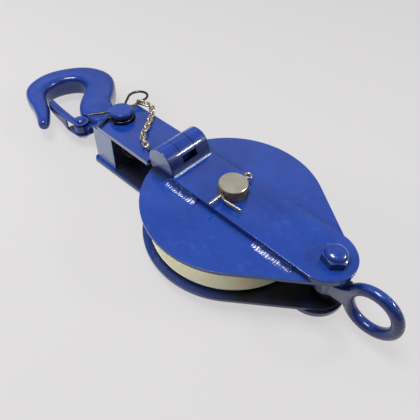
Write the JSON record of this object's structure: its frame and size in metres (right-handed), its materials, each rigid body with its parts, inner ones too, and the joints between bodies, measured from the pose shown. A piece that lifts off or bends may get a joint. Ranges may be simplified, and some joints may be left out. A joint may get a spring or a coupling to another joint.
{
  "type": "snatch block",
  "caption": "Snatch block for wire rope with a swivel hook, a hinged gate over a locking pin, a sheave between teardrop cheeks and a tail ring.",
  "frame": {"origin": "centre of the sheave, on its axis and in the middle of the rope groove", "axes": "+Z along the sheave's axis, out of the front cheek; +X from the sheave to the tail ring; -X to the hook; +Y to the side that the hook's bowl is on"},
  "size_m": [0.5839, 0.2, 0.099],
  "materials": {
    "blue_enamel": "gloss royal blue enamel",
    "cream_nylon": "cast cream nylon, lathe turned",
    "turned_steel": "bright turned steel",
    "zinc_steel": "dull zinc plating",
    "spring_steel": "oiled spring wire",
    "clip_wire": "yellow zinc plated wire",
    "chain_brass": "pale brass plating",
    "bronze": "oiled bronze"
  },
  "bodies": {
    "frame": {"front_cheek": "blue_enamel", "rear_cheek": "blue_enamel", "front_strap": "blue_enamel", "rear_strap": "blue_enamel", "strap_hinge": "blue_enamel", "hinge_pin": "blue_enamel", "hinge_seam": "blue_enamel", "cross_block": "blue_enamel", "block_weld": "blue_enamel", "locking_pin": "blue_enamel", "swivel_washer": "zinc_steel", "thrust_washers": "bronze", "axle": "turned_steel", "axle_cotter": "zinc_steel", "tail_bolt": "blue_enamel", "tail_washer": "blue_enamel", "tail_nut": "blue_enamel", "eye_spacers": "zinc_steel", "front_welds": "blue_enamel", "rear_welds": "blue_enamel"},
    "sheave": {"sheave": "cream_nylon", "sheave_bush": "bronze"},
    "gate": {"gate_plate": "blue_enamel", "hairpin_clip": "clip_wire", "clip_chain": "chain_brass", "chain_anchor": "chain_brass"},
    "hook": {"hook": "blue_enamel", "hook_nut": "blue_enamel", "hook_nut_pin": "zinc_steel", "latch_pin": "blue_enamel", "latch_nut": "zinc_steel", "latch_spring": "spring_steel"},
    "latch": {"hook_latch": "blue_enamel"},
    "ring": {"tail_ring": "blue_enamel"}
  },
  "joints": [
    {"name": "sheave_spin", "type": "hinge", "parent": "frame", "child": "sheave", "pos_m": [0, 0, 0], "axis": [0, 0, 1], "continuous": true},
    {"name": "gate_swing", "type": "hinge", "parent": "frame", "child": "gate", "pos_m": [-0.082, 0, 0.0375], "axis": [0, 1, 0], "range_deg": [0, 150], "deforming": ["hairpin_clip"]},
    {"name": "hook_swivel", "type": "hinge", "parent": "frame", "child": "hook", "pos_m": [-0.188, 0, 0], "axis": [1, 0, 0], "continuous": true},
    {"name": "latch_pivot", "type": "hinge", "parent": "hook", "child": "latch", "pos_m": [-0.246, -0.027, 0], "axis": [0, 0, -1], "range_deg": [0, 20], "stiffness_Nm_per_rad": 0.05, "springref_deg": -28.65},
    {"name": "ring_swing", "type": "hinge", "parent": "frame", "child": "ring", "pos_m": [0.126, 0, 0], "axis": [0, 0, 1], "range_deg": [-57.5, 62.5]}
  ]
}
